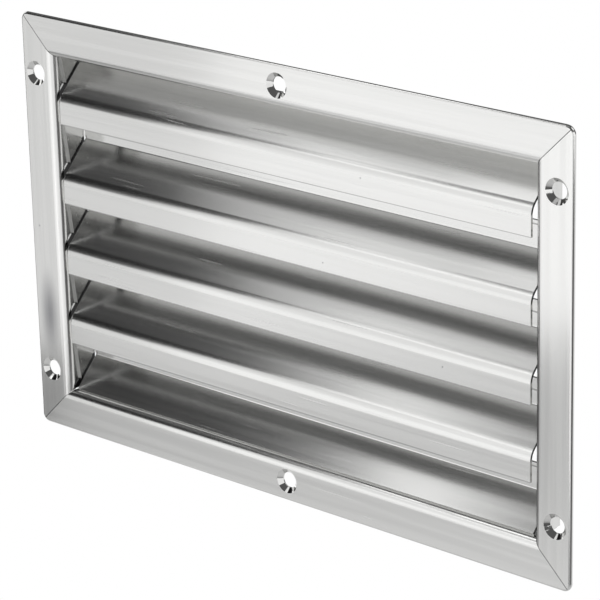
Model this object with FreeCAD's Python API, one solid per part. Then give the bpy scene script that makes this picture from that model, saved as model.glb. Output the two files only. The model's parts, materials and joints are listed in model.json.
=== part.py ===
import FreeCAD, Part
import math
import os

# A louvred sheet metal panel: a mitred frame of four folded rails and five folded louvre blades.
# Millimetres. +X is right, +Z is up and the front faces -Y. The origin is the middle of the
# flange's back face, which lies on the wall.

# Driving dimensions
SHEET = 0.9
PANEL_WIDTH = 230.0
PANEL_HEIGHT = 150.0
PANEL_DEPTH = 13.2
CORNER_RADIUS = 3.0
FLANGE_WIDTH = 14.4
FRAME_BEND = 3.0
HEM_CLEAR_OF_BEND = 0.6
HEM_EDGE_FLAT = 0.09
WALL_END_RELIEF = 0.25
SEAM_WELD = 2.5
SEAM_OPEN = 0.14

SCREW_SIDE_EDGE = 6.0
SCREW_END_EDGE = 21.0
SCREW_MIDDLE_EDGE = 7.0
SCREW_HOLE_DIAMETER = 5.4
COUNTERSINK_DIAMETER = 8.5
COUNTERSINK_DEPTH = 1.4

BLADE_COUNT = 5
END_PITCH_EXTRA = 2.7
BLADE_SETBACK = 0.8
BLADE_SLOPE = 45.0
FRONT_LIP = 9.2
BACK_LIP = 8.9
TOP_BLADE_BACK_LIP = 2.6
FRONT_BEND_INSIDE = 4.6
BACK_BEND_INSIDE = 0.7
EAR_TOP_DEPTH = 3.2
EAR_FOOT_DEPTH = 5.2
EAR_DROP = 0.5
EAR_NOTCH = 0.6

# Sizes that follow
HALF_WIDTH = PANEL_WIDTH / 2
HALF_HEIGHT = PANEL_HEIGHT / 2
FLANGE = 2 * SHEET
FRONT = -FLANGE
REAR = FRONT + PANEL_DEPTH
OPENING_HALF_WIDTH = HALF_WIDTH - FLANGE_WIDTH
OPENING_HALF_HEIGHT = HALF_HEIGHT - FLANGE_WIDTH
FOLD_OUTSIDE = BACK_BEND_INSIDE + SHEET
BLADE_HALF = OPENING_HALF_WIDTH - FOLD_OUTSIDE
SLOPE_RISE = math.tan(math.radians(BLADE_SLOPE))
BLADE_FRONT = FRONT + BLADE_SETBACK
BLADE_BACK = REAR - SHEET
HEM_ROUND = (FLANGE - HEM_EDGE_FLAT) / 2
FOOT_CUT_HEIGHT = SHEET * math.cos(math.radians(BLADE_SLOPE))
FOOT_CUT_DEPTH = SHEET * math.sin(math.radians(BLADE_SLOPE))
SAME_POINT = 1e-6


def rounded_outline(points, radii):
    """A closed wire through (a, b) corners in the XY plane, with an arc at each corner that has a radius."""
    corners = [FreeCAD.Vector(a, b, 0) for a, b in points]
    bends = []
    for i, (here, radius) in enumerate(zip(corners, radii)):
        if radius == 0:
            bends.append((here, here, here))
            continue
        back = (corners[i - 1] - here).normalize()
        ahead = (corners[(i + 1) % len(corners)] - here).normalize()
        half_angle = back.getAngle(ahead) / 2
        run = radius / math.tan(half_angle)
        middle = here + (back + ahead).normalize() * (radius / math.sin(half_angle) - radius)
        bends.append((here + back * run, middle, here + ahead * run))
    edges = []
    for (start, middle, end), following in zip(bends, bends[1:] + bends[:1]):
        if start != end:
            edges.append(Part.Arc(start, middle, end).toShape())
        if end.distanceToPoint(following[0]) > SAME_POINT:
            edges.append(Part.LineSegment(end, following[0]).toShape())
    return Part.Wire(edges)


def prism(points, radii, length):
    """An outline in the XY plane pushed up along Z."""
    return Part.Face(rounded_outline(points, radii)).extrude(FreeCAD.Vector(0, 0, length))


def along_x(points, radii, start, end):
    """An outline of (y, z) corners pushed along X from start to end."""
    right, back, up = FreeCAD.Vector(1, 0, 0), FreeCAD.Vector(0, 1, 0), FreeCAD.Vector(0, 0, 1)
    solid = prism(points, radii, end - start)
    turn = FreeCAD.Rotation(back, up, right, "ZXY")
    solid.Placement = FreeCAD.Placement(FreeCAD.Vector(start, 0, 0), turn)
    return solid


def along_y(points, start, end):
    """An outline of (x, z) corners pushed along Y from start to end."""
    corners = [FreeCAD.Vector(x, start, z) for x, z in points]
    face = Part.Face(Part.makePolygon(corners + corners[:1]))
    return face.extrude(FreeCAD.Vector(0, end - start, 0))


def box(x_range, y_range, z_range):
    low = FreeCAD.Vector(x_range[0], y_range[0], z_range[0])
    return Part.makeBox(x_range[1] - x_range[0], y_range[1] - y_range[0], z_range[1] - z_range[0], low)


def through_sheet(start, end):
    """The step through the sheet, to the right of the way from start to end."""
    way = (end - start).normalize()
    return FreeCAD.Vector(way.y, -way.x, 0) * SHEET


def folded_strip(path, inside_radii):
    """The closed outline of a bent sheet: one face follows the path and the sheet lies on its right."""
    corners = [FreeCAD.Vector(a, b, 0) for a, b in path]
    steps = [through_sheet(start, end) for start, end in zip(corners, corners[1:])]
    other_face = [corners[0] + steps[0]]
    path_radii = [0]
    other_radii = [0]
    for corner, before, after, inside in zip(corners[1:], steps, steps[1:], inside_radii):
        reach = SHEET ** 2 / (SHEET ** 2 + before.dot(after))
        other_face.append(corner + (before + after) * reach)
        outside = inside + SHEET
        turns_left = before.cross(after).z > 0
        path_radii.append(inside if turns_left else outside)
        other_radii.append(outside if turns_left else inside)
    other_face.append(corners[-1] + steps[-1])
    outline = path + [(corner.x, corner.y) for corner in other_face[::-1]]
    return outline, path_radii + [0, 0] + other_radii[::-1]


def rail_section(edge):
    """The rail's (y, z) section below its outer edge: hemmed flange, bend and return wall."""
    inner = edge - FLANGE_WIDTH
    hem_end = inner + FRAME_BEND + HEM_CLEAR_OF_BEND
    points = [
        (FRONT, edge),
        (FRONT, inner),
        (REAR, inner),
        (REAR, inner + SHEET),
        (FRONT + SHEET, inner + SHEET),
        (FRONT + SHEET, hem_end),
        (0, hem_end),
        (0, edge),
    ]
    radii = [0, FRAME_BEND, 0, 0, FRAME_BEND - SHEET, 0, 0, 0]
    return points, radii


def rail_footprint(half_length, edge):
    """The rail's mitred (x, z) outline: the ends touch over the weld and open slightly inward."""
    inner = edge - FLANGE_WIDTH - SHEET
    weld = edge - SEAM_WELD
    right = [
        (half_length, edge),
        (half_length - SEAM_WELD, weld),
        (half_length - (edge - inner) - SEAM_OPEN, inner),
    ]
    left = [(-x, z) for x, z in right[::-1]]
    return right + left


def rail(half_length, edge):
    """One rail, made as the top one, still with square outer corners."""
    points, radii = rail_section(edge)
    solid = along_x(points, radii, -half_length, half_length)
    solid = solid.common(along_y(rail_footprint(half_length, edge), FRONT, REAR))
    inner = edge - FLANGE_WIDTH
    wall_end = half_length - FLANGE_WIDTH - WALL_END_RELIEF
    wall_heights = (inner - SHEET, inner + FRAME_BEND)
    for side in (-1, 1):
        ends = sorted((side * wall_end, side * half_length))
        solid = solid.cut(box(ends, (FRONT + FRAME_BEND, REAR), wall_heights))
    return solid


def turned(solid, degrees):
    """The solid turned about the panel's own axis, which runs front to back."""
    return solid.rotated(FreeCAD.Vector(0, 0, 0), FreeCAD.Vector(0, 1, 0), degrees)


def frame_envelope():
    """Rounded corners and full round hem edge for the flange, with room behind it for the walls."""
    corners = [
        (HALF_WIDTH, HALF_HEIGHT),
        (-HALF_WIDTH, HALF_HEIGHT),
        (-HALF_WIDTH, -HALF_HEIGHT),
        (HALF_WIDTH, -HALF_HEIGHT),
    ]
    plate = prism(corners, [CORNER_RADIUS] * len(corners), FLANGE)
    rims = [edge for edge in plate.Edges if edge.firstVertex().Z == edge.lastVertex().Z]
    plate = plate.makeFillet(HEM_ROUND, rims)
    plate.rotate(FreeCAD.Vector(0, 0, 0), FreeCAD.Vector(1, 0, 0), 90)
    behind_x = HALF_WIDTH - FLANGE_WIDTH / 2
    behind_z = HALF_HEIGHT - FLANGE_WIDTH / 2
    behind = box((-behind_x, behind_x), (FRONT, REAR), (-behind_z, behind_z))
    return plate.fuse(behind)


def screw_hole(x, z):
    """A countersunk hole through the hemmed flange."""
    mouth = COUNTERSINK_DIAMETER / 2
    bore = SCREW_HOLE_DIAMETER / 2
    back = FreeCAD.Vector(0, 1, 0)
    sink = Part.makeCone(mouth, bore, COUNTERSINK_DEPTH, FreeCAD.Vector(x, FRONT, z), back)
    hole = Part.makeCylinder(bore, FLANGE, FreeCAD.Vector(x, FRONT, z), back)
    return sink.fuse(hole)


def screw_places():
    side = HALF_WIDTH - SCREW_SIDE_EDGE
    end = HALF_HEIGHT - SCREW_END_EDGE
    middle = HALF_HEIGHT - SCREW_MIDDLE_EDGE
    corners = [(x, z) for x in (-side, side) for z in (-end, end)]
    return corners + [(0, middle), (0, -middle)]


def frame_rails():
    """The four rails by name, each with its rounded corners and its screw holes."""
    rails = {
        "frame_top_rail": rail(HALF_WIDTH, HALF_HEIGHT),
        "frame_bottom_rail": turned(rail(HALF_WIDTH, HALF_HEIGHT), 180),
        "frame_right_rail": turned(rail(HALF_HEIGHT, HALF_WIDTH), 90),
        "frame_left_rail": turned(rail(HALF_HEIGHT, HALF_WIDTH), -90),
    }
    envelope = frame_envelope()
    holes = [screw_hole(x, z) for x, z in screw_places()]
    return {name: solid.common(envelope).cut(holes) for name, solid in rails.items()}


def blade_heights():
    """Height of each blade's front corner, top first; the two end gaps are a little wider."""
    foot_depth = FRAME_BEND - FOOT_CUT_DEPTH - BLADE_SETBACK
    top = OPENING_HALF_HEIGHT - TOP_BLADE_BACK_LIP - (BLADE_BACK - BLADE_FRONT) * SLOPE_RISE
    bottom = FOOT_CUT_HEIGHT - OPENING_HALF_HEIGHT - foot_depth * SLOPE_RISE
    pitch = (top - bottom - 2 * END_PITCH_EXTRA) / (BLADE_COUNT - 1)
    between = [top - END_PITCH_EXTRA - i * pitch for i in range(1, BLADE_COUNT - 1)]
    return [top] + between + [bottom]


def hanging_lip(corner):
    """The front of a blade's path: a lip that hangs from the slope's front corner."""
    return [(BLADE_FRONT, corner - FRONT_LIP), (BLADE_FRONT, corner)], [FRONT_BEND_INSIDE]


def seated_foot(corner):
    """The front of the last blade's path: the slope's foot, cut off where it stands on the bottom wall."""
    foot = FOOT_CUT_HEIGHT - OPENING_HALF_HEIGHT
    return [(BLADE_FRONT + (foot - corner) / SLOPE_RISE, foot)], []


def ears(corner, back_corner, top):
    """The back lip with an ear folded forward at each end, to lie on the side walls."""
    side = OPENING_HALF_WIDTH
    front = FRONT + EAR_TOP_DEPTH
    foot = FRONT + EAR_FOOT_DEPTH
    notch_front = REAR - FOLD_OUTSIDE - EAR_NOTCH
    notch_top = back_corner + EAR_NOTCH

    def beside_slope(y):
        return corner + (y - BLADE_FRONT) * SLOPE_RISE - EAR_DROP

    low = beside_slope(foot)
    path = [(-side, front), (-side, REAR), (side, REAR), (side, front)]
    points, radii = folded_strip(path, [BACK_BEND_INSIDE, BACK_BEND_INSIDE])
    channel = prism(points, radii, top - low)
    channel.translate(FreeCAD.Vector(0, 0, low))
    outline = [
        (front, top),
        (foot, low),
        (notch_front, beside_slope(notch_front)),
        (notch_front, notch_top),
        (REAR, notch_top),
        (REAR, top),
    ]
    return channel.common(along_x(outline, [0] * len(outline), -side, side))


def blade(corner, front_path, front_bends, back_lip):
    """One louvre blade: front, slope and back lip folded from a strip, with ears at its ends."""
    back_corner = corner + (BLADE_BACK - BLADE_FRONT) * SLOPE_RISE
    top = back_corner + back_lip
    path = front_path + [(BLADE_BACK, back_corner), (BLADE_BACK, top)]
    points, radii = folded_strip(path, front_bends + [BACK_BEND_INSIDE])
    strip = along_x(points, radii, -BLADE_HALF, BLADE_HALF)
    return strip.fuse(ears(corner, back_corner, top)).removeSplitter()


def louvre_blades():
    """The blades by name, top first: the first is trimmed under the top wall, the last has no lip."""
    blades = {}
    heights = blade_heights()
    for number, corner in enumerate(heights, start=1):
        front_path, front_bends = hanging_lip(corner) if number < len(heights) else seated_foot(corner)
        back_lip = BACK_LIP if number > 1 else TOP_BLADE_BACK_LIP
        blades[f"louvre_blade_{number}"] = blade(corner, front_path, front_bends, back_lip)
    return blades


def main():
    os.makedirs("parts", exist_ok=True)
    solids = {**frame_rails(), **louvre_blades()}
    for name, shape in solids.items():
        solid = shape.Solids[0]
        print(name, len(shape.Solids), solid.isValid(), len(solid.Faces), round(solid.Volume, 1))
        solid.exportStep(f"parts/{name}.step")


main()
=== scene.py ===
"""The louvred panel dressed in brushed stainless steel, with its studio."""

import json
import math

import bmesh
import bpy
from mathutils import Euler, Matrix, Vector


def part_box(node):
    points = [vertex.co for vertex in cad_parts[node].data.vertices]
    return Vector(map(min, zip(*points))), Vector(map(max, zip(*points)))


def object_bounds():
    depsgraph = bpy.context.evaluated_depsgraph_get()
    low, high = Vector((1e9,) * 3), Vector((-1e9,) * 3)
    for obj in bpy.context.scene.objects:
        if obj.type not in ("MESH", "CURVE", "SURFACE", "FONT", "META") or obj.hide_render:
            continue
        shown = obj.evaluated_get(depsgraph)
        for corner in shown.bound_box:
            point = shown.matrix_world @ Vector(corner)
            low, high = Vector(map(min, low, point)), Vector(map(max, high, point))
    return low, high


bl_info = {
    "name": "Louvred sheet metal panel",
    "version": (1, 0, 0),
    "blender": (4, 5, 0),
    "location": "View3D > Sidebar > Louvred panel",
    "description": "Finishes a folded steel louvre panel and sets up its studio",
    "category": "Object",
}

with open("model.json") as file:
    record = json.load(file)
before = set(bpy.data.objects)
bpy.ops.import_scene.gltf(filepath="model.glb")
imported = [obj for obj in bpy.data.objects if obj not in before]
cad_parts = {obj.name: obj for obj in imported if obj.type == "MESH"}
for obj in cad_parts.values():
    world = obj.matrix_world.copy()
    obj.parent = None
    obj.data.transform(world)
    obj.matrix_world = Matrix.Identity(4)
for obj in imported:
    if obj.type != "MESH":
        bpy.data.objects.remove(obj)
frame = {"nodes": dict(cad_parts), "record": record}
NODES = frame["nodes"]
CAD_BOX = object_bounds()

RAILS_ALONG_X = ("frame_top_rail", "frame_bottom_rail")
RAILS_ALONG_Z = ("frame_left_rail", "frame_right_rail")
BLADES = tuple(sorted(name for name in NODES if name.startswith("louvre_blade")))
SCREWS = {mount["name"]: mount["dims"] for mount in frame["record"]["mounts"]}

PHOTO_WIDTH = 600
SENSOR_WIDTH = 36.0
CLIP_RANGE = (0.01, 50.0)
MILLIMETRE = 0.001
NO_TURN = (0.0, 0.0, 0.0)
QUARTER_TURN = (0.0, math.radians(90), 0.0)

# The white backdrop lies behind the panel and below its level. It fades in between these parts of
# a direction backwards and upwards.
BACKDROP_BACKWARD = (0.2, 0.5)
BACKDROP_UPWARD = (0.02, -0.12)

# A black flag takes the room's light away on the left. It stands at this azimuth and elevation, it
# fades in between the first and the second angle from there, and it leaves this much light.
FLAG_DIRECTION = (-60, 24)
FLAG_EDGE = (24, 10)
FLAG_LEVEL = 0.01

# The floor turns white for the camera between these radii in metres, from a share of white under
# the panel. In metal it shows a pool of light, of the second share, that fades out further away.
FLOOR_COLOUR = (0.9, 0.9, 0.9, 1.0)
FLOOR_SEGMENTS = 96
WHITE_FLOOR_EDGE = (0.20, 0.55)
WHITE_UNDER_PANEL = 0.7
POOL_EDGE = (0.7, 1.1)
POOL_SHARE = 0.4

# Brush strokes: how the pattern of their tones is scaled, the tones between which the colour
# changes and the share of it that is left in the darkest, the tones between which the roughness
# changes and how far, and how much the strokes lean away from the piece's length.
TONE_SCALE = (0.23, 0.23, 0.23)
STREAK_TONES = (0.35, 0.65)
STREAK_SHADE = 0.94
SATIN_TONES = (0.2, 0.8)
ROUGHNESS_SPREAD = 0.02
GRAIN_LEAN = 0.05

# Specks: the mean distance between two places where one may lie, the share of places with a speck,
# and where its edge fades in parts of that distance. Then the tones that streak the smudge.
SPECK_SPACING = 0.008
SPECK_SHARE = 0.16
SPECK_EDGE = (0.05, 0.02)
SMUDGE_STREAKS = (0.10, 0.50)

# The painted shade in the seam beside a blade's ear runs along the slope. It would meet the plane Y
# = 0 so far above the blade's lower edge or, on the bottom blade, which has no front lip, below its
# top.
SEAM_ABOVE_EDGE = 0.0091
SEAM_BELOW_TOP = 0.0205

# How far from its line each painted shade fades out and is whole, and where the ears' seams end,
# inside the side walls. Then the share of the painted dark line on the lower edges, and how square
# to its direction a face must be to take a painted shade.
EAR_SEAM_SHADE_WIDTH = (0.00155, 0.00115)
EAR_REACH = 0.101
PAINTED_LOWER_EDGE_WIDTH = (0.0004, 0.0001)
PAINTED_LOWER_EDGE_SHARE = 0.5
MITRE_SHADE_WIDTH = (0.00022, 0.00010)
FACING_EDGE = (0.80, 0.95)
# Near-black colour painted into the ears' seams and the mitres as shade, and onto the blades' lower
# edges as a dark reflection.
PAINTED_SHADE_COLOUR = (0.03, 0.03, 0.03, 1.0)

# Scratches run a little askew to the grain. The scale gives how often they repeat along and across.
SCRATCH_TURN = (0.0, 0.16, 0.0)
SCRATCH_SCALE = (35.0, 1200.0, 1200.0)
SCRATCH_EDGE = (0.77, 0.84)
SCRATCH_ROUGHNESS = 0.12

# Azimuth from the panel's front (to the left is negative) and elevation in degrees, then distance,
# width and height in metres, then how bright its face is.
SOFTBOXES = {
    "hot head": (-82, 58, 0.62, 0.20, 0.14, 1.6),
    "head": (-58, 53, 0.62, 0.16, 0.22, 0.75),
    "key top": (-39, 40, 0.62, 0.22, 0.14, 0.9),
    "key high": (-34, 22, 0.62, 0.26, 0.34, 1.0),
    "key box": (-40, -8, 0.62, 0.50, 0.32, 0.82),
    "key low": (-34, -33, 0.62, 0.40, 0.24, 0.46),
    "key right": (-30, -8, 0.62, 0.32, 0.32, 0.34),
    "left wall": (-97, 6, 0.62, 0.29, 0.72, 1.5),
    "front card": (-8, -3, 0.62, 0.24, 0.58, 1.2),
    "front right card": (24, -6, 0.62, 0.46, 0.50, 1.0),
    "right panel": (80, 8, 0.62, 0.70, 0.40, 1.2),
    "right head": (105, 50, 0.62, 0.30, 0.30, 1.5),
    "overhead": (-20, 66, 0.62, 0.44, 0.16, 0.5),
    "back fill": (180, 20, 0.90, 0.90, 0.50, 0.6),
}


class PanelFinish(bpy.types.PropertyGroup):
    """The steel's colour and its brushed grain."""

    steel_colour: bpy.props.FloatVectorProperty(
        name="Steel colour",
        description="Reflection colour of the clean sheet",
        default=(0.70, 0.70, 0.69),
        min=0.0,
        max=1.0,
        size=3,
        subtype="COLOR",
    )
    roughness: bpy.props.FloatProperty(
        name="Roughness",
        description="Blur of the satin finish",
        default=0.17,
        min=0.0,
        max=1.0,
        subtype="FACTOR",
    )
    across_grain: bpy.props.FloatProperty(
        name="Blur across the grain",
        description="How much more the sheet blurs across its grain than along it",
        default=0.7,
        min=0.0,
        max=1.0,
        subtype="FACTOR",
    )
    grain_length: bpy.props.FloatProperty(
        name="Grain length",
        description="Length of one brush stroke",
        default=0.030,
        min=0.001,
        max=0.5,
        unit="LENGTH",
    )
    grain_width: bpy.props.FloatProperty(
        name="Grain width",
        description="Width of one brush stroke",
        default=0.0005,
        min=0.00005,
        max=0.01,
        unit="LENGTH",
    )
    grain_depth: bpy.props.FloatProperty(
        name="Grain depth",
        description="Depth of the brush strokes",
        default=0.000003,
        min=0.0,
        max=0.001,
        precision=6,
        unit="LENGTH",
    )
    wave_length: bpy.props.FloatProperty(
        name="Wave length",
        description="Distance between the slow waves left in the rolled sheet",
        default=0.035,
        min=0.001,
        max=0.5,
        unit="LENGTH",
    )
    wave_depth: bpy.props.FloatProperty(
        name="Wave depth",
        description="Depth of the slow waves",
        default=0.00006,
        min=0.0,
        max=0.001,
        precision=6,
        unit="LENGTH",
    )
    mark_colour: bpy.props.FloatVectorProperty(
        name="Mark colour",
        description="Reflection colour of specks and of the smudge",
        min=0.0,
        max=1.0,
        default=(0.30, 0.30, 0.31),
        size=3,
        subtype="COLOR",
    )
    smudge_place: bpy.props.FloatVectorProperty(
        name="Smudge place",
        description="Middle of the handling smudge on the left flange",
        size=3,
        default=(-0.1085, -0.0018, -0.0330),
        subtype="XYZ",
        unit="LENGTH",
    )
    smudge_reach: bpy.props.FloatVectorProperty(
        name="Smudge reach",
        description="How far the smudge fades out to each side",
        size=3,
        default=(0.0060, 0.0020, 0.0200),
        subtype="XYZ",
        unit="LENGTH",
    )
    countersink_roughness: bpy.props.FloatProperty(
        name="Countersink roughness",
        description="Blur of the turned screw seats",
        default=0.05,
        min=0.0,
        max=1.0,
        subtype="FACTOR",
    )
    countersink_radius: bpy.props.FloatProperty(
        name="Countersink radius",
        description="Outer radius of the turned screw seats",
        default=0.00425,
        min=0.0,
        max=0.02,
        unit="LENGTH",
    )


class PanelStudio(bpy.types.PropertyGroup):
    """The camera and the studio around the panel."""

    camera_place: bpy.props.FloatVectorProperty(
        name="Camera place",
        description="Where the camera stands",
        default=(0.58871, -0.66763, 0.32222),
        size=3,
        subtype="XYZ",
        unit="LENGTH",
    )
    camera_turn: bpy.props.FloatVectorProperty(
        name="Camera turn",
        description="How the camera is turned",
        default=(1.23234, 0.02314, 0.70895),
        size=3,
        subtype="EULER",
        unit="ROTATION",
    )
    focal_length: bpy.props.FloatProperty(
        name="Focal length",
        description="Focal length on a 36 mm wide sensor, in millimetres",
        default=175.44,
        min=10.0,
        max=500.0,
    )
    frame_drop: bpy.props.FloatProperty(
        name="Frame drop",
        description="How many pixels of the photograph's width the frame is shifted down",
        default=40.0,
        min=0.0,
        max=300.0,
    )
    floor_drop: bpy.props.FloatProperty(
        name="Floor drop",
        description="How far the floor lies below the panel's middle",
        default=0.50,
        min=0.0,
        max=3.0,
        unit="LENGTH",
    )
    floor_radius: bpy.props.FloatProperty(
        name="Floor radius",
        description="Radius of the round floor",
        default=1.8,
        min=0.1,
        max=10.0,
        unit="LENGTH",
    )
    room_level: bpy.props.FloatProperty(
        name="Room level",
        description="Brightness of the room around the softboxes",
        default=0.12,
        min=0.0,
        max=1.0,
    )


def new_node(tree, kind, **settings):
    """A shader node with its settings."""
    made = tree.nodes.new(kind)
    for name, value in settings.items():
        setattr(made, name, value)
    return made


def feed(tree, target, value):
    """Gives a socket its value, or links it to the socket that makes the value."""
    if isinstance(value, bpy.types.NodeSocket):
        tree.links.new(value, target)
    else:
        target.default_value = value


def calculate(tree, operation, *values):
    """One step of arithmetic."""
    step = new_node(tree, "ShaderNodeMath", operation=operation)
    for target, value in zip(step.inputs, values):
        feed(tree, target, value)
    return step.outputs[0]


def calculate_vector(tree, operation, *values):
    """One step of vector arithmetic."""
    step = new_node(tree, "ShaderNodeVectorMath", operation=operation)
    for target, value in zip(step.inputs, values):
        feed(tree, target, value)
    gives_a_number = operation in ("DOT_PRODUCT", "LENGTH", "DISTANCE")
    return step.outputs["Value" if gives_a_number else "Vector"]


def ramp(tree, value, start, end, from_value=0.0, to_value=1.0):
    """A smooth change from one value to another while the input goes from start to end."""
    step = new_node(tree, "ShaderNodeMapRange", interpolation_type="SMOOTHSTEP")
    for name, part in zip(("Value", "From Min", "From Max", "To Min", "To Max"),
                          (value, start, end, from_value, to_value)):
        feed(tree, step.inputs[name], part)
    return step.outputs["Result"]


def noise(tree, place, detail=2.0, roughness=0.5):
    """Cloudy noise at the place's own scale."""
    cloud = new_node(tree, "ShaderNodeTexNoise")
    feed(tree, cloud.inputs["Vector"], place)
    cloud.inputs["Scale"].default_value = 1.0
    cloud.inputs["Detail"].default_value = detail
    cloud.inputs["Roughness"].default_value = roughness
    return cloud.outputs["Fac"]


def effect_group(name, inputs, outputs):
    """An empty node group, with inputs given as (name, kind) pairs and outputs by name."""
    group = bpy.data.node_groups.new(name, "ShaderNodeTree")
    for label, kind in inputs:
        group.interface.new_socket(name=label, in_out="INPUT", socket_type=kind)
    for label in outputs:
        group.interface.new_socket(name=label, in_out="OUTPUT", socket_type="NodeSocketFloat")
    entry = group.nodes.new("NodeGroupInput")
    leave = group.nodes.new("NodeGroupOutput")
    return group, entry.outputs, leave.inputs


def brushed_grain_group():
    """Brush strokes as a height and a tone, from a place whose X runs along the grain."""
    wanted = [
        ("Along grain", "NodeSocketVector"),
        ("Stroke length", "NodeSocketFloat"),
        ("Stroke width", "NodeSocketFloat"),
    ]
    group, entry, leave = effect_group("brushed grain", wanted, ("Height", "Tone"))
    scale = new_node(group, "ShaderNodeCombineXYZ")
    across = calculate(group, "DIVIDE", 1.0, entry["Stroke width"])
    feed(group, scale.inputs["X"], calculate(group, "DIVIDE", 1.0, entry["Stroke length"]))
    feed(group, scale.inputs["Y"], across)
    feed(group, scale.inputs["Z"], across)
    stretched = calculate_vector(group, "MULTIPLY", entry["Along grain"], scale.outputs[0])
    feed(group, leave["Height"], noise(group, stretched, detail=3.0, roughness=0.6))
    wider = calculate_vector(group, "MULTIPLY", stretched, TONE_SCALE)
    feed(group, leave["Tone"], noise(group, wider))
    return group


def sheet_wave_group():
    """The slow waves of a rolled and folded sheet, as a height."""
    wanted = [("Place", "NodeSocketVector"), ("Wave length", "NodeSocketFloat")]
    group, entry, leave = effect_group("sheet waves", wanted, ("Height",))
    steady = calculate(group, "DIVIDE", 1.0, entry["Wave length"])
    scaled = new_node(group, "ShaderNodeVectorMath", operation="SCALE")
    feed(group, scaled.inputs["Vector"], entry["Place"])
    feed(group, scaled.inputs["Scale"], steady)
    feed(group, leave["Height"], noise(group, scaled.outputs["Vector"], detail=1.0))
    return group


def handling_mark_group():
    """Specks and scratches all over the sheet, and one streaky smudge."""
    wanted = [
        ("Place", "NodeSocketVector"),
        ("Along grain", "NodeSocketVector"),
        ("Streaks", "NodeSocketFloat"),
        ("Smudge place", "NodeSocketVector"),
        ("Smudge reach", "NodeSocketVector"),
    ]
    group, entry, leave = effect_group("handling marks", wanted, ("Dark mark", "Scratch"))
    cells = new_node(group, "ShaderNodeTexVoronoi", feature="F1")
    feed(group, cells.inputs["Vector"], entry["Place"])
    cells.inputs["Scale"].default_value = 1 / SPECK_SPACING
    chance = new_node(group, "ShaderNodeSeparateColor")
    feed(group, chance.inputs[0], cells.outputs["Color"])
    small = ramp(group, cells.outputs["Distance"], *SPECK_EDGE)
    chosen = calculate(group, "LESS_THAN", chance.outputs[0], SPECK_SHARE)
    speck = calculate(group, "MULTIPLY", small, chosen)
    away = calculate_vector(group, "SUBTRACT", entry["Place"], entry["Smudge place"])
    relative = calculate_vector(group, "DIVIDE", away, entry["Smudge reach"])
    near = ramp(group, calculate_vector(group, "LENGTH", relative), 0.0, 1.0, 1.0, 0.0)
    smudge = calculate(group, "MULTIPLY", near, ramp(group, entry["Streaks"], *SMUDGE_STREAKS))
    feed(group, leave["Dark mark"], calculate(group, "MAXIMUM", speck, smudge))
    turned = new_node(group, "ShaderNodeMapping")
    turned.inputs["Rotation"].default_value = SCRATCH_TURN
    turned.inputs["Scale"].default_value = SCRATCH_SCALE
    feed(group, turned.inputs["Vector"], entry["Along grain"])
    scratches = noise(group, turned.outputs[0], detail=0.0)
    feed(group, leave["Scratch"], ramp(group, scratches, *SCRATCH_EDGE))
    return group


def nearest_blade(tree, height, levels):
    """How far a height is from the nearest of the blades' levels."""
    distances = []
    for level in levels:
        above = calculate(tree, "SUBTRACT", height, level)
        distances.append(calculate(tree, "ABSOLUTE", above))
    nearest = distances[0]
    for distance in distances[1:]:
        nearest = calculate(tree, "MINIMUM", nearest, distance)
    return nearest


def painted_seam_and_edge_shade_group():
    """Painted shade in the seams beside the blades' ears and in the frame's mitres, and a painted
    dark reflection on the blades' lower edges.
    """
    wanted = [("Place", "NodeSocketVector")]
    shades = ("Painted ear seam shade", "Painted lower edge reflection", "Painted mitre shade")
    group, entry, leave = effect_group("painted shade in seams and edges", wanted, shades)
    parts = new_node(group, "ShaderNodeSeparateXYZ")
    feed(group, parts.inputs[0], entry["Place"])
    wide = calculate(group, "ABSOLUTE", parts.outputs["X"])
    high = calculate(group, "ABSOLUTE", parts.outputs["Z"])
    lower_edges = [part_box(name)[0][2] for name in BLADES[:-1]]
    last_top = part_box(BLADES[-1])[1][2]

    # The ears' seams get painted shade, standing for the shade that falls in the gap beside each
    # slope's end.
    seams = [edge + SEAM_ABOVE_EDGE for edge in lower_edges] + [last_top - SEAM_BELOW_TOP]
    along_slope = calculate(group, "SUBTRACT", parts.outputs["Z"], parts.outputs["Y"])
    beside = ramp(group, nearest_blade(group, along_slope, seams), *EAR_SEAM_SHADE_WIDTH)
    inside = calculate(group, "LESS_THAN", wide, EAR_REACH)
    feed(group, leave["Painted ear seam shade"], calculate(group, "MULTIPLY", beside, inside))

    # The lower edges get a painted dark line, a painted reflection of the dark room in a rolled
    # edge that the solids lack.
    from_edge = nearest_blade(group, parts.outputs["Z"], lower_edges)
    feed(group, leave["Painted lower edge reflection"], ramp(group, from_edge, *PAINTED_LOWER_EDGE_WIDTH))

    # The mitres get painted shade, standing for the shade that falls in the open seam.
    corner = CAD_BOX[1][0] - CAD_BOX[1][2]
    past_mitre = calculate(group, "SUBTRACT", calculate(group, "SUBTRACT", wide, high), corner)
    from_mitre = calculate(group, "ABSOLUTE", past_mitre)
    feed(group, leave["Painted mitre shade"], ramp(group, from_mitre, *MITRE_SHADE_WIDTH))
    return group


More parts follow.
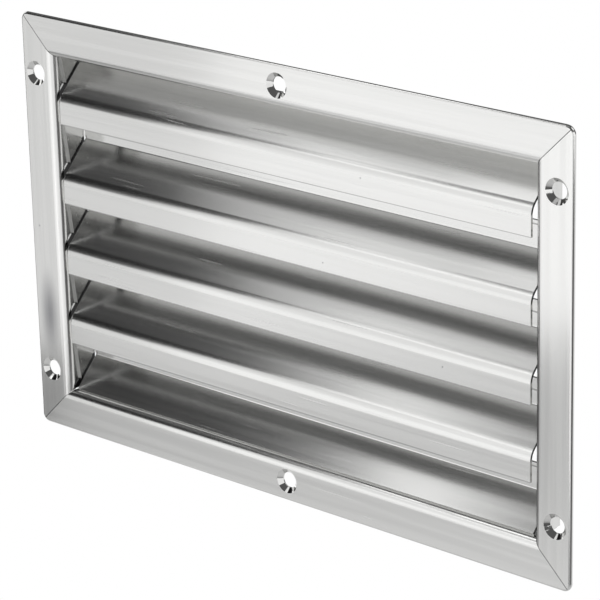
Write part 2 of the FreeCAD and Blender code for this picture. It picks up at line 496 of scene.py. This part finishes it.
def screw_seat_group():
    """A mask that is 1 in the turned countersinks, from a place and the seats' radius."""
    wanted = [("Place", "NodeSocketVector"), ("Radius", "NodeSocketFloat")]
    group, entry, leave = effect_group("screw seats", wanted, ("Seat",))
    corner = SCREWS["corner_screws"]
    middle = SCREWS["middle_screws"]
    seats = (
        (corner["spacing_x_mm"] / 2 * MILLIMETRE, 0, corner["spacing_y_mm"] / 2 * MILLIMETRE),
        (0, 0, middle["spacing_y_mm"] / 2 * MILLIMETRE),
    )
    folded = calculate_vector(group, "ABSOLUTE", entry["Place"])
    flat = calculate_vector(group, "MULTIPLY", folded, (1, 0, 1))
    distances = [calculate_vector(group, "DISTANCE", flat, seat) for seat in seats]
    nearest = calculate(group, "MINIMUM", *distances)
    feed(group, leave["Seat"], calculate(group, "LESS_THAN", nearest, entry["Radius"]))
    return group


def effect_groups():
    """The shared effects, built once."""
    makers = {
        "brushed grain": brushed_grain_group,
        "sheet waves": sheet_wave_group,
        "handling marks": handling_mark_group,
        "painted shade in seams and edges": painted_seam_and_edge_shade_group,
        "screw seats": screw_seat_group,
    }
    return {name: bpy.data.node_groups.get(name) or make() for name, make in makers.items()}


def place_group(tree, group, **values):
    """A shared effect placed in a material with its own values."""
    placed = new_node(tree, "ShaderNodeGroup", node_tree=group)
    for name, value in values.items():
        feed(tree, placed.inputs[name.replace("_", " ")], value)
    return placed.outputs


def rail_grain(tree, along):
    """Grain that runs along a rail on every face of it."""
    to_world = new_node(tree, "ShaderNodeVectorTransform", vector_type="VECTOR",
                        convert_from="OBJECT", convert_to="WORLD")
    to_world.inputs[0].default_value = along
    return to_world.outputs[0]


def level_grain(tree):
    """Grain that runs along the top and bottom rails."""
    return rail_grain(tree, (1, 0, GRAIN_LEAN))


def upright_grain(tree):
    """Grain that runs along the side rails."""
    return rail_grain(tree, (GRAIN_LEAN, 0, 1))


def blade_grain(tree):
    """Grain that runs along the blade and follows the sheet round into its folded ears."""
    normal = new_node(tree, "ShaderNodeNewGeometry").outputs["Normal"]
    level = calculate_vector(tree, "CROSS_PRODUCT", normal, (0, 0, 1))
    return calculate_vector(tree, "ADD", level, (-GRAIN_LEAN, 0, 0))


def mixed_colour(tree, share, first, second):
    """One colour blended into another."""
    mix = new_node(tree, "ShaderNodeMix", data_type="RGBA")
    for target, value in zip((mix.inputs[0], mix.inputs[6], mix.inputs[7]), (share, first, second)):
        feed(tree, target, value)
    return mix.outputs[2]


def shade_painted_in_seams(tree, groups, place, normal, mitred):
    """How much painted shade darkens the ears' seams and the rails' mitres, or else the painted
    dark line the blades' lower edges.
    """
    seams = place_group(tree, groups["painted shade in seams and edges"], Place=place)
    facing = new_node(tree, "ShaderNodeSeparateXYZ")
    feed(tree, facing.inputs[0], normal)
    sideways = ramp(tree, calculate(tree, "ABSOLUTE", facing.outputs["X"]), *FACING_EDGE)
    frontal = ramp(tree, calculate(tree, "ABSOLUTE", facing.outputs["Y"]), *FACING_EDGE)
    ear = calculate(tree, "MULTIPLY", seams["Painted ear seam shade"], sideways)
    if mitred:
        line = seams["Painted mitre shade"]
    else:
        line = calculate(tree, "MULTIPLY", seams["Painted lower edge reflection"], PAINTED_LOWER_EDGE_SHARE)
    return calculate(tree, "MAXIMUM", ear, calculate(tree, "MULTIPLY", frontal, line))


def steel_material(name, finish, grain, turn, mitred):
    """Brushed stainless steel with polished screw seats, its strokes turned along the piece."""
    material = bpy.data.materials.new(name)
    material.use_nodes = True
    tree = material.node_tree
    shader = tree.nodes["Principled BSDF"]
    groups = effect_groups()
    place = new_node(tree, "ShaderNodeTexCoord").outputs["Object"]
    mapping = new_node(tree, "ShaderNodeMapping")
    mapping.inputs["Rotation"].default_value = turn
    feed(tree, mapping.inputs["Vector"], place)
    along_grain = mapping.outputs["Vector"]
    brushed = place_group(tree, groups["brushed grain"], Along_grain=along_grain,
                          Stroke_length=finish.grain_length, Stroke_width=finish.grain_width)
    waves = place_group(tree, groups["sheet waves"], Place=place, Wave_length=finish.wave_length)
    marks = place_group(tree, groups["handling marks"], Place=place, Along_grain=along_grain,
                        Streaks=brushed["Tone"], Smudge_place=finish.smudge_place,
                        Smudge_reach=finish.smudge_reach)
    seats = place_group(tree, groups["screw seats"], Place=place, Radius=finish.countersink_radius)

    darkest = (*[part * STREAK_SHADE for part in finish.steel_colour], 1.0)
    clean = (*finish.steel_colour, 1.0)
    streaked = mixed_colour(tree, ramp(tree, brushed["Tone"], *STREAK_TONES), darkest, clean)
    marked = mixed_colour(tree, marks["Dark mark"], streaked, (*finish.mark_colour, 1.0))
    normal = new_node(tree, "ShaderNodeNewGeometry").outputs["Normal"]
    # Painted shade in the seams and a painted dark reflection on the lower edges are mixed into the
    # steel's colour.
    shade = shade_painted_in_seams(tree, groups, place, normal, mitred)
    feed(tree, shader.inputs["Base Color"], mixed_colour(tree, shade, marked, PAINTED_SHADE_COLOUR))

    satin_range = (finish.roughness - ROUGHNESS_SPREAD, finish.roughness + ROUGHNESS_SPREAD)
    satin = ramp(tree, brushed["Tone"], *SATIN_TONES, *satin_range)
    duller = calculate(tree, "MULTIPLY", marks["Scratch"], SCRATCH_ROUGHNESS)
    scratched = calculate(tree, "ADD", satin, duller)
    turned = new_node(tree, "ShaderNodeMix")
    feed(tree, turned.inputs["Factor"], seats["Seat"])
    feed(tree, turned.inputs["A"], scratched)
    feed(tree, turned.inputs["B"], finish.countersink_roughness)
    feed(tree, shader.inputs["Roughness"], turned.outputs["Result"])
    shader.inputs["Metallic"].default_value = 1.0
    shader.inputs["Anisotropic"].default_value = finish.across_grain

    strokes = calculate(tree, "MULTIPLY", brushed["Height"], finish.grain_depth)
    relief = calculate(tree, "MULTIPLY_ADD", waves["Height"], finish.wave_depth, strokes)
    bump = new_node(tree, "ShaderNodeBump")
    bump.inputs["Strength"].default_value = 1.0
    bump.inputs["Distance"].default_value = 1.0
    feed(tree, bump.inputs["Height"], relief)
    feed(tree, shader.inputs["Normal"], bump.outputs["Normal"])
    across_grain = calculate_vector(tree, "CROSS_PRODUCT", normal, grain(tree))
    feed(tree, shader.inputs["Tangent"], across_grain)
    return material


def dress(names, material):
    """Gives CAD pieces their material."""
    for name in names:
        NODES[name].data.materials.clear()
        NODES[name].data.materials.append(material)


class OBJECT_OT_finish_rails(bpy.types.Operator):
    """Brushes each frame rail along its own length and polishes its screw seats"""

    bl_idname = "object.finish_louvre_rails"
    bl_label = "Finish frame rails"

    def execute(self, context):
        finish = context.scene.panel_finish
        level = steel_material("brushed steel level", finish, level_grain, NO_TURN, True)
        dress(RAILS_ALONG_X, level)
        upright = steel_material("brushed steel upright", finish, upright_grain, QUARTER_TURN, True)
        dress(RAILS_ALONG_Z, upright)
        return {"FINISHED"}


class OBJECT_OT_finish_blades(bpy.types.Operator):
    """Brushes the louvre blades along their length"""

    bl_idname = "object.finish_louvre_blades"
    bl_label = "Finish louvre blades"

    def execute(self, context):
        finish = context.scene.panel_finish
        steel = steel_material("brushed steel blade", finish, blade_grain, NO_TURN, False)
        dress(BLADES, steel)
        return {"FINISHED"}


def photo_camera(studio):
    """The camera at the photographed angle, with its frame shifted a little down."""
    data = bpy.data.cameras.new("photo camera")
    data.sensor_width = SENSOR_WIDTH
    data.lens = studio.focal_length
    data.shift_y = -studio.frame_drop / PHOTO_WIDTH
    data.clip_start, data.clip_end = CLIP_RANGE
    camera = bpy.data.objects.new("photo camera", data)
    bpy.context.scene.collection.objects.link(camera)
    camera.location = studio.camera_place
    camera.rotation_euler = studio.camera_turn
    bpy.context.scene.camera = camera


def studio_direction(azimuth, elevation):
    """The direction from the panel to a place in the studio."""
    away = Vector((0, -1, 0))
    away.rotate(Euler((-math.radians(elevation), 0, math.radians(azimuth))))
    return away


def softbox(name, azimuth, elevation, distance, width, height, brightness):
    """A rectangular softbox that faces the panel's middle."""
    lamp = bpy.data.lights.new(name, "AREA")
    lamp.shape = "RECTANGLE"
    lamp.size = width
    lamp.size_y = height
    lamp.energy = math.pi * width * height * brightness
    away = studio_direction(azimuth, elevation) * distance
    lit = bpy.data.objects.new(name, lamp)
    bpy.context.scene.collection.objects.link(lit)
    lit.location = away
    lit.rotation_euler = away.to_track_quat("Z", "Y").to_euler()
    lit.visible_camera = False


def seen_as_background(tree):
    """1 for rays from the camera, and 1 for rays mirrored in metal or going through glass."""
    path = new_node(tree, "ShaderNodeLightPath").outputs
    mirrored = calculate(tree, "MAXIMUM", path["Is Glossy Ray"], path["Is Transmission Ray"])
    return path["Is Camera Ray"], mirrored


def backdrop(tree, direction):
    """1 towards the backdrop, which sweeps down behind the panel to the floor."""
    parts = new_node(tree, "ShaderNodeSeparateXYZ")
    feed(tree, parts.inputs[0], direction)
    backward = ramp(tree, parts.outputs["Y"], *BACKDROP_BACKWARD)
    return calculate(tree, "MULTIPLY", backward, ramp(tree, parts.outputs["Z"], *BACKDROP_UPWARD))


def studio_world(studio):
    """White behind the panel, for the camera and in mirroring metal. The rest is a dim room."""
    world = bpy.data.worlds.new("studio")
    bpy.context.scene.world = world
    world.use_nodes = True
    tree = world.node_tree
    direction = new_node(tree, "ShaderNodeTexCoord").outputs["Generated"]
    camera, mirrored = seen_as_background(tree)
    shown = calculate(tree, "MULTIPLY", mirrored, backdrop(tree, direction))
    flag = studio_direction(*FLAG_DIRECTION)
    flag_edge = [math.cos(math.radians(angle)) for angle in FLAG_EDGE]
    towards_flag = calculate_vector(tree, "DOT_PRODUCT", direction, flag)
    room = ramp(tree, towards_flag, *flag_edge, studio.room_level, FLAG_LEVEL)
    shade = mixed_colour(tree, calculate(tree, "MAXIMUM", camera, shown), room, (1, 1, 1, 1))
    feed(tree, tree.nodes["Background"].inputs["Color"], shade)


def studio_floor(studio):
    """A round pale floor that takes the shadow near the panel and turns white further out."""
    mesh = bpy.data.meshes.new("studio floor")
    shape = bmesh.new()
    bmesh.ops.create_circle(shape, cap_ends=True, segments=FLOOR_SEGMENTS,
                            radius=studio.floor_radius)
    bmesh.ops.translate(shape, verts=shape.verts, vec=(0, 0, -studio.floor_drop))
    shape.to_mesh(mesh)
    shape.free()
    floor = bpy.data.objects.new("studio_floor", mesh)
    bpy.context.scene.collection.objects.link(floor)
    material = bpy.data.materials.new("studio floor")
    material.use_nodes = True
    tree = material.node_tree
    tree.nodes.remove(tree.nodes["Principled BSDF"])
    place = new_node(tree, "ShaderNodeTexCoord").outputs["Object"]
    flat = calculate_vector(tree, "MULTIPLY", place, (1, 1, 0))
    out = calculate_vector(tree, "LENGTH", flat)
    camera, mirrored = seen_as_background(tree)
    white_share = ramp(tree, out, *WHITE_FLOOR_EDGE, WHITE_UNDER_PANEL, 1.0)
    seen = calculate(tree, "MULTIPLY", camera, white_share)
    pool = ramp(tree, out, *POOL_EDGE, POOL_SHARE, 0.0)
    behind = backdrop(tree, calculate_vector(tree, "NORMALIZE", place))
    shown = calculate(tree, "MULTIPLY", mirrored, calculate(tree, "MAXIMUM", pool, behind))
    matt = new_node(tree, "ShaderNodeBsdfDiffuse")
    matt.inputs["Color"].default_value = FLOOR_COLOUR
    white = new_node(tree, "ShaderNodeEmission")
    mixed = new_node(tree, "ShaderNodeMixShader")
    feed(tree, mixed.inputs[0], calculate(tree, "MAXIMUM", seen, shown))
    feed(tree, mixed.inputs[1], matt.outputs[0])
    feed(tree, mixed.inputs[2], white.outputs[0])
    feed(tree, tree.nodes["Material Output"].inputs["Surface"], mixed.outputs[0])
    mesh.materials.append(material)


class SCENE_OT_panel_studio(bpy.types.Operator):
    """Sets the camera, the floor and the softboxes"""

    bl_idname = "scene.louvre_panel_studio"
    bl_label = "Set up studio"

    def execute(self, context):
        studio = context.scene.panel_studio
        photo_camera(studio)
        studio_world(studio)
        studio_floor(studio)
        for name, settings in SOFTBOXES.items():
            softbox(name, *settings)
        context.scene.view_settings.view_transform = "Standard"
        return {"FINISHED"}


class VIEW3D_PT_louvred_panel(bpy.types.Panel):
    """Lists the panel's steps and settings"""

    bl_label = "Louvred panel"
    bl_space_type = "VIEW_3D"
    bl_region_type = "UI"
    bl_category = "Louvred panel"

    def draw(self, context):
        layout = self.layout
        layout.operator("object.finish_louvre_rails")
        layout.operator("object.finish_louvre_blades")
        for name in PanelFinish.__annotations__:
            layout.prop(context.scene.panel_finish, name)
        layout.operator("scene.louvre_panel_studio")
        for name in PanelStudio.__annotations__:
            layout.prop(context.scene.panel_studio, name)


CLASSES = (
    PanelFinish,
    PanelStudio,
    OBJECT_OT_finish_rails,
    OBJECT_OT_finish_blades,
    SCENE_OT_panel_studio,
    VIEW3D_PT_louvred_panel,
)


def register():
    for part in CLASSES:
        bpy.utils.register_class(part)
    bpy.types.Scene.panel_finish = bpy.props.PointerProperty(type=PanelFinish)
    bpy.types.Scene.panel_studio = bpy.props.PointerProperty(type=PanelStudio)


def unregister():
    del bpy.types.Scene.panel_studio
    del bpy.types.Scene.panel_finish
    for part in reversed(CLASSES):
        bpy.utils.unregister_class(part)


def main():
    register()
    bpy.ops.object.finish_louvre_rails()
    bpy.ops.object.finish_louvre_blades()
    bpy.ops.scene.louvre_panel_studio()


if __name__ == "__main__":
    main()
